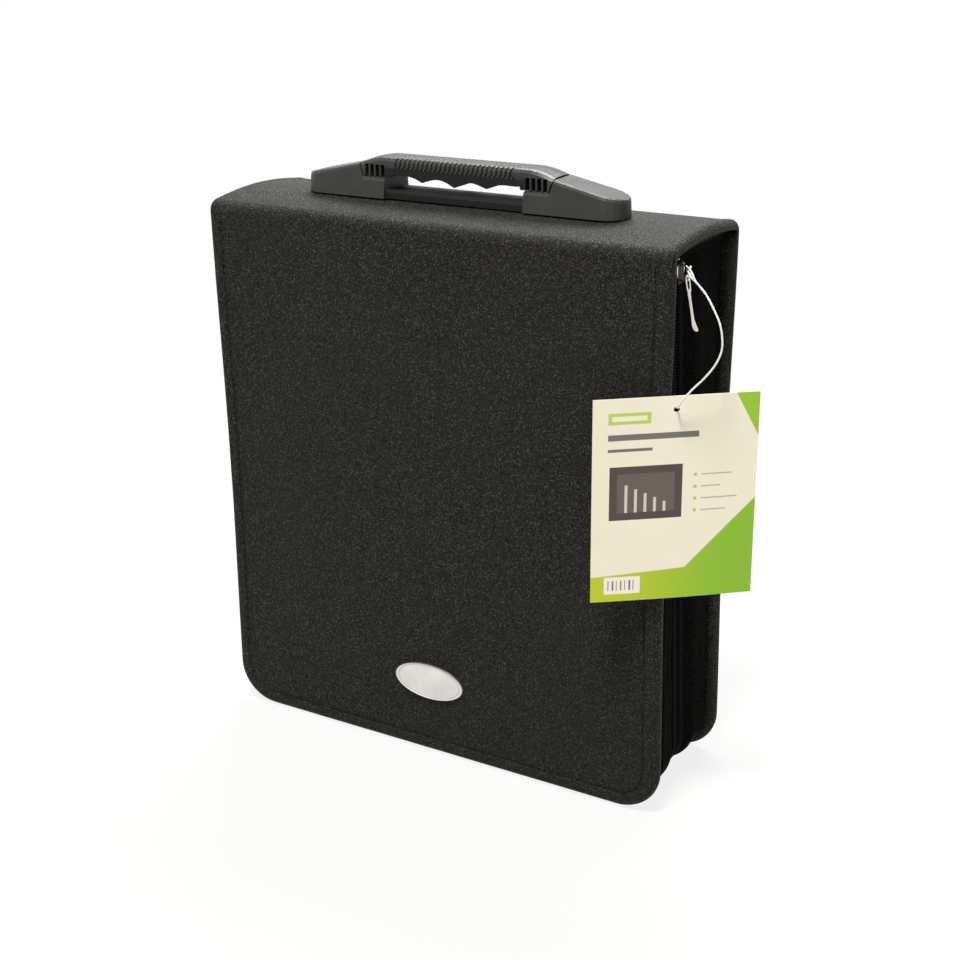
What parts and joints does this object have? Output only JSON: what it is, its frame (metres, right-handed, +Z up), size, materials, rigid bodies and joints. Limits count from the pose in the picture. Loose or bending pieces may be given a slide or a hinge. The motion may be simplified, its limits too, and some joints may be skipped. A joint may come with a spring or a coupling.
{
  "type": "disc storage case",
  "caption": "Zip-round binder case with a crowned spine, a moulded carrying handle, hinged covers, a ring mechanism and hanging disc sleeves.",
  "frame": {"origin": "on the surface the case stands on, under the middle of the case", "axes": "+X along the spine, towards the end with the zip slider; -Y out of the front cover; +Z up, towards the handle"},
  "size_m": [0.3266, 0.1116, 0.3441],
  "materials": {
    "leatherette": "black pebble grain",
    "lining": "plain black",
    "gusset": "soft black",
    "tape": "woven",
    "coil": "moulded",
    "handle": "satin",
    "grip": "satin, ribbed",
    "nickel": "bright plated",
    "steel": "bright",
    "film": "clear film over white felt",
    "badge": "white enamel",
    "card": "printed card",
    "string": "white twisted string"
  },
  "bodies": {
    "spine": {"spine_panel": "leatherette", "spine_lining": "lining", "handle_base": "handle", "handle_rivet_left": "steel", "handle_rivet_right": "steel", "ring_cover": "steel", "ring_rivet_left": "steel", "ring_rivet_right": "steel", "sleeve_pages": "film"},
    "front_cover": {"front_cover": "leatherette", "front_lining": "lining", "badge": "badge", "front_gusset": "gusset", "front_zip_tape": "tape", "front_zip_coil": "coil", "front_zip_stop_left": "nickel", "front_zip_stop_right": "nickel", "swing_ticket": "card", "ticket_string": "string", "string_knot": "string"},
    "back_cover": {"back_cover": "leatherette", "back_lining": "lining", "back_gusset": "gusset", "back_zip_tape": "tape", "back_zip_coil": "coil", "back_zip_stop_left": "nickel", "back_zip_stop_right": "nickel"},
    "zip_slider": {"zip_slider": "nickel"},
    "zip_pull": {"zip_pull": "nickel"},
    "handle_grip": {"handle_grip": "grip"},
    "front_ring_arm": {"front_blade": "steel", "front_half_ring_1": "steel", "front_half_ring_2": "steel", "front_half_ring_3": "steel", "front_half_ring_4": "steel"},
    "back_ring_arm": {"back_blade": "steel", "back_half_ring_1": "steel", "back_half_ring_2": "steel", "back_half_ring_3": "steel", "back_half_ring_4": "steel"},
    "trigger_left": {"trigger_left": "steel"},
    "trigger_right": {"trigger_right": "steel"}
  },
  "joints": [
    {"name": "front_cover_hinge", "type": "hinge", "parent": "spine", "child": "front_cover", "pos_m": [0, -0.044, 0.31035], "axis": [-1, 0, 0], "range_deg": [0, 90]},
    {"name": "back_cover_hinge", "type": "hinge", "parent": "spine", "child": "back_cover", "pos_m": [0, 0.044, 0.31035], "axis": [1, 0, 0], "range_deg": [0, 90]},
    {"name": "grip_lift", "type": "slide", "parent": "spine", "child": "handle_grip", "axis": [0, 0, 1], "range_m": [0, 0.0065]},
    {"name": "slider_travel", "type": "slide", "parent": "back_cover", "child": "zip_slider", "axis": [0, 0.0799, -0.9968], "range_m": [0, 0.23]},
    {"name": "pull_swing", "type": "hinge", "parent": "zip_slider", "child": "zip_pull", "pos_m": [0.1439, -0.02408, 0.30051], "axis": [0, -0.9968, -0.0799], "range_deg": [0, 80]},
    {"name": "ring_open", "type": "hinge", "parent": "spine", "child": "front_ring_arm", "pos_m": [0, -0.013, 0.3092], "axis": [-1, 0, 0], "range_deg": [0, 15], "stiffness_Nm_per_rad": 0.05, "springref_deg": -20.05},
    {"name": "ring_open_back", "type": "hinge", "parent": "spine", "child": "back_ring_arm", "pos_m": [0, 0.013, 0.3092], "axis": [1, 0, 0], "range_deg": [0, 18]},
    {"name": "trigger_press_right", "type": "hinge", "parent": "spine", "child": "trigger_right", "pos_m": [0.121, 0, 0.3098], "axis": [0, -1, 0], "range_deg": [0, 18]},
    {"name": "trigger_press_left", "type": "hinge", "parent": "spine", "child": "trigger_left", "pos_m": [-0.121, 0, 0.3098], "axis": [0, 1, 0], "range_deg": [0, 18]}
  ],
  "couplings": [
    {"joint": "ring_open_back", "follows": "ring_open", "ratio": 1},
    {"joint": "trigger_press_right", "follows": "ring_open", "ratio": 0.9333},
    {"joint": "trigger_press_left", "follows": "ring_open", "ratio": 0.9333}
  ]
}
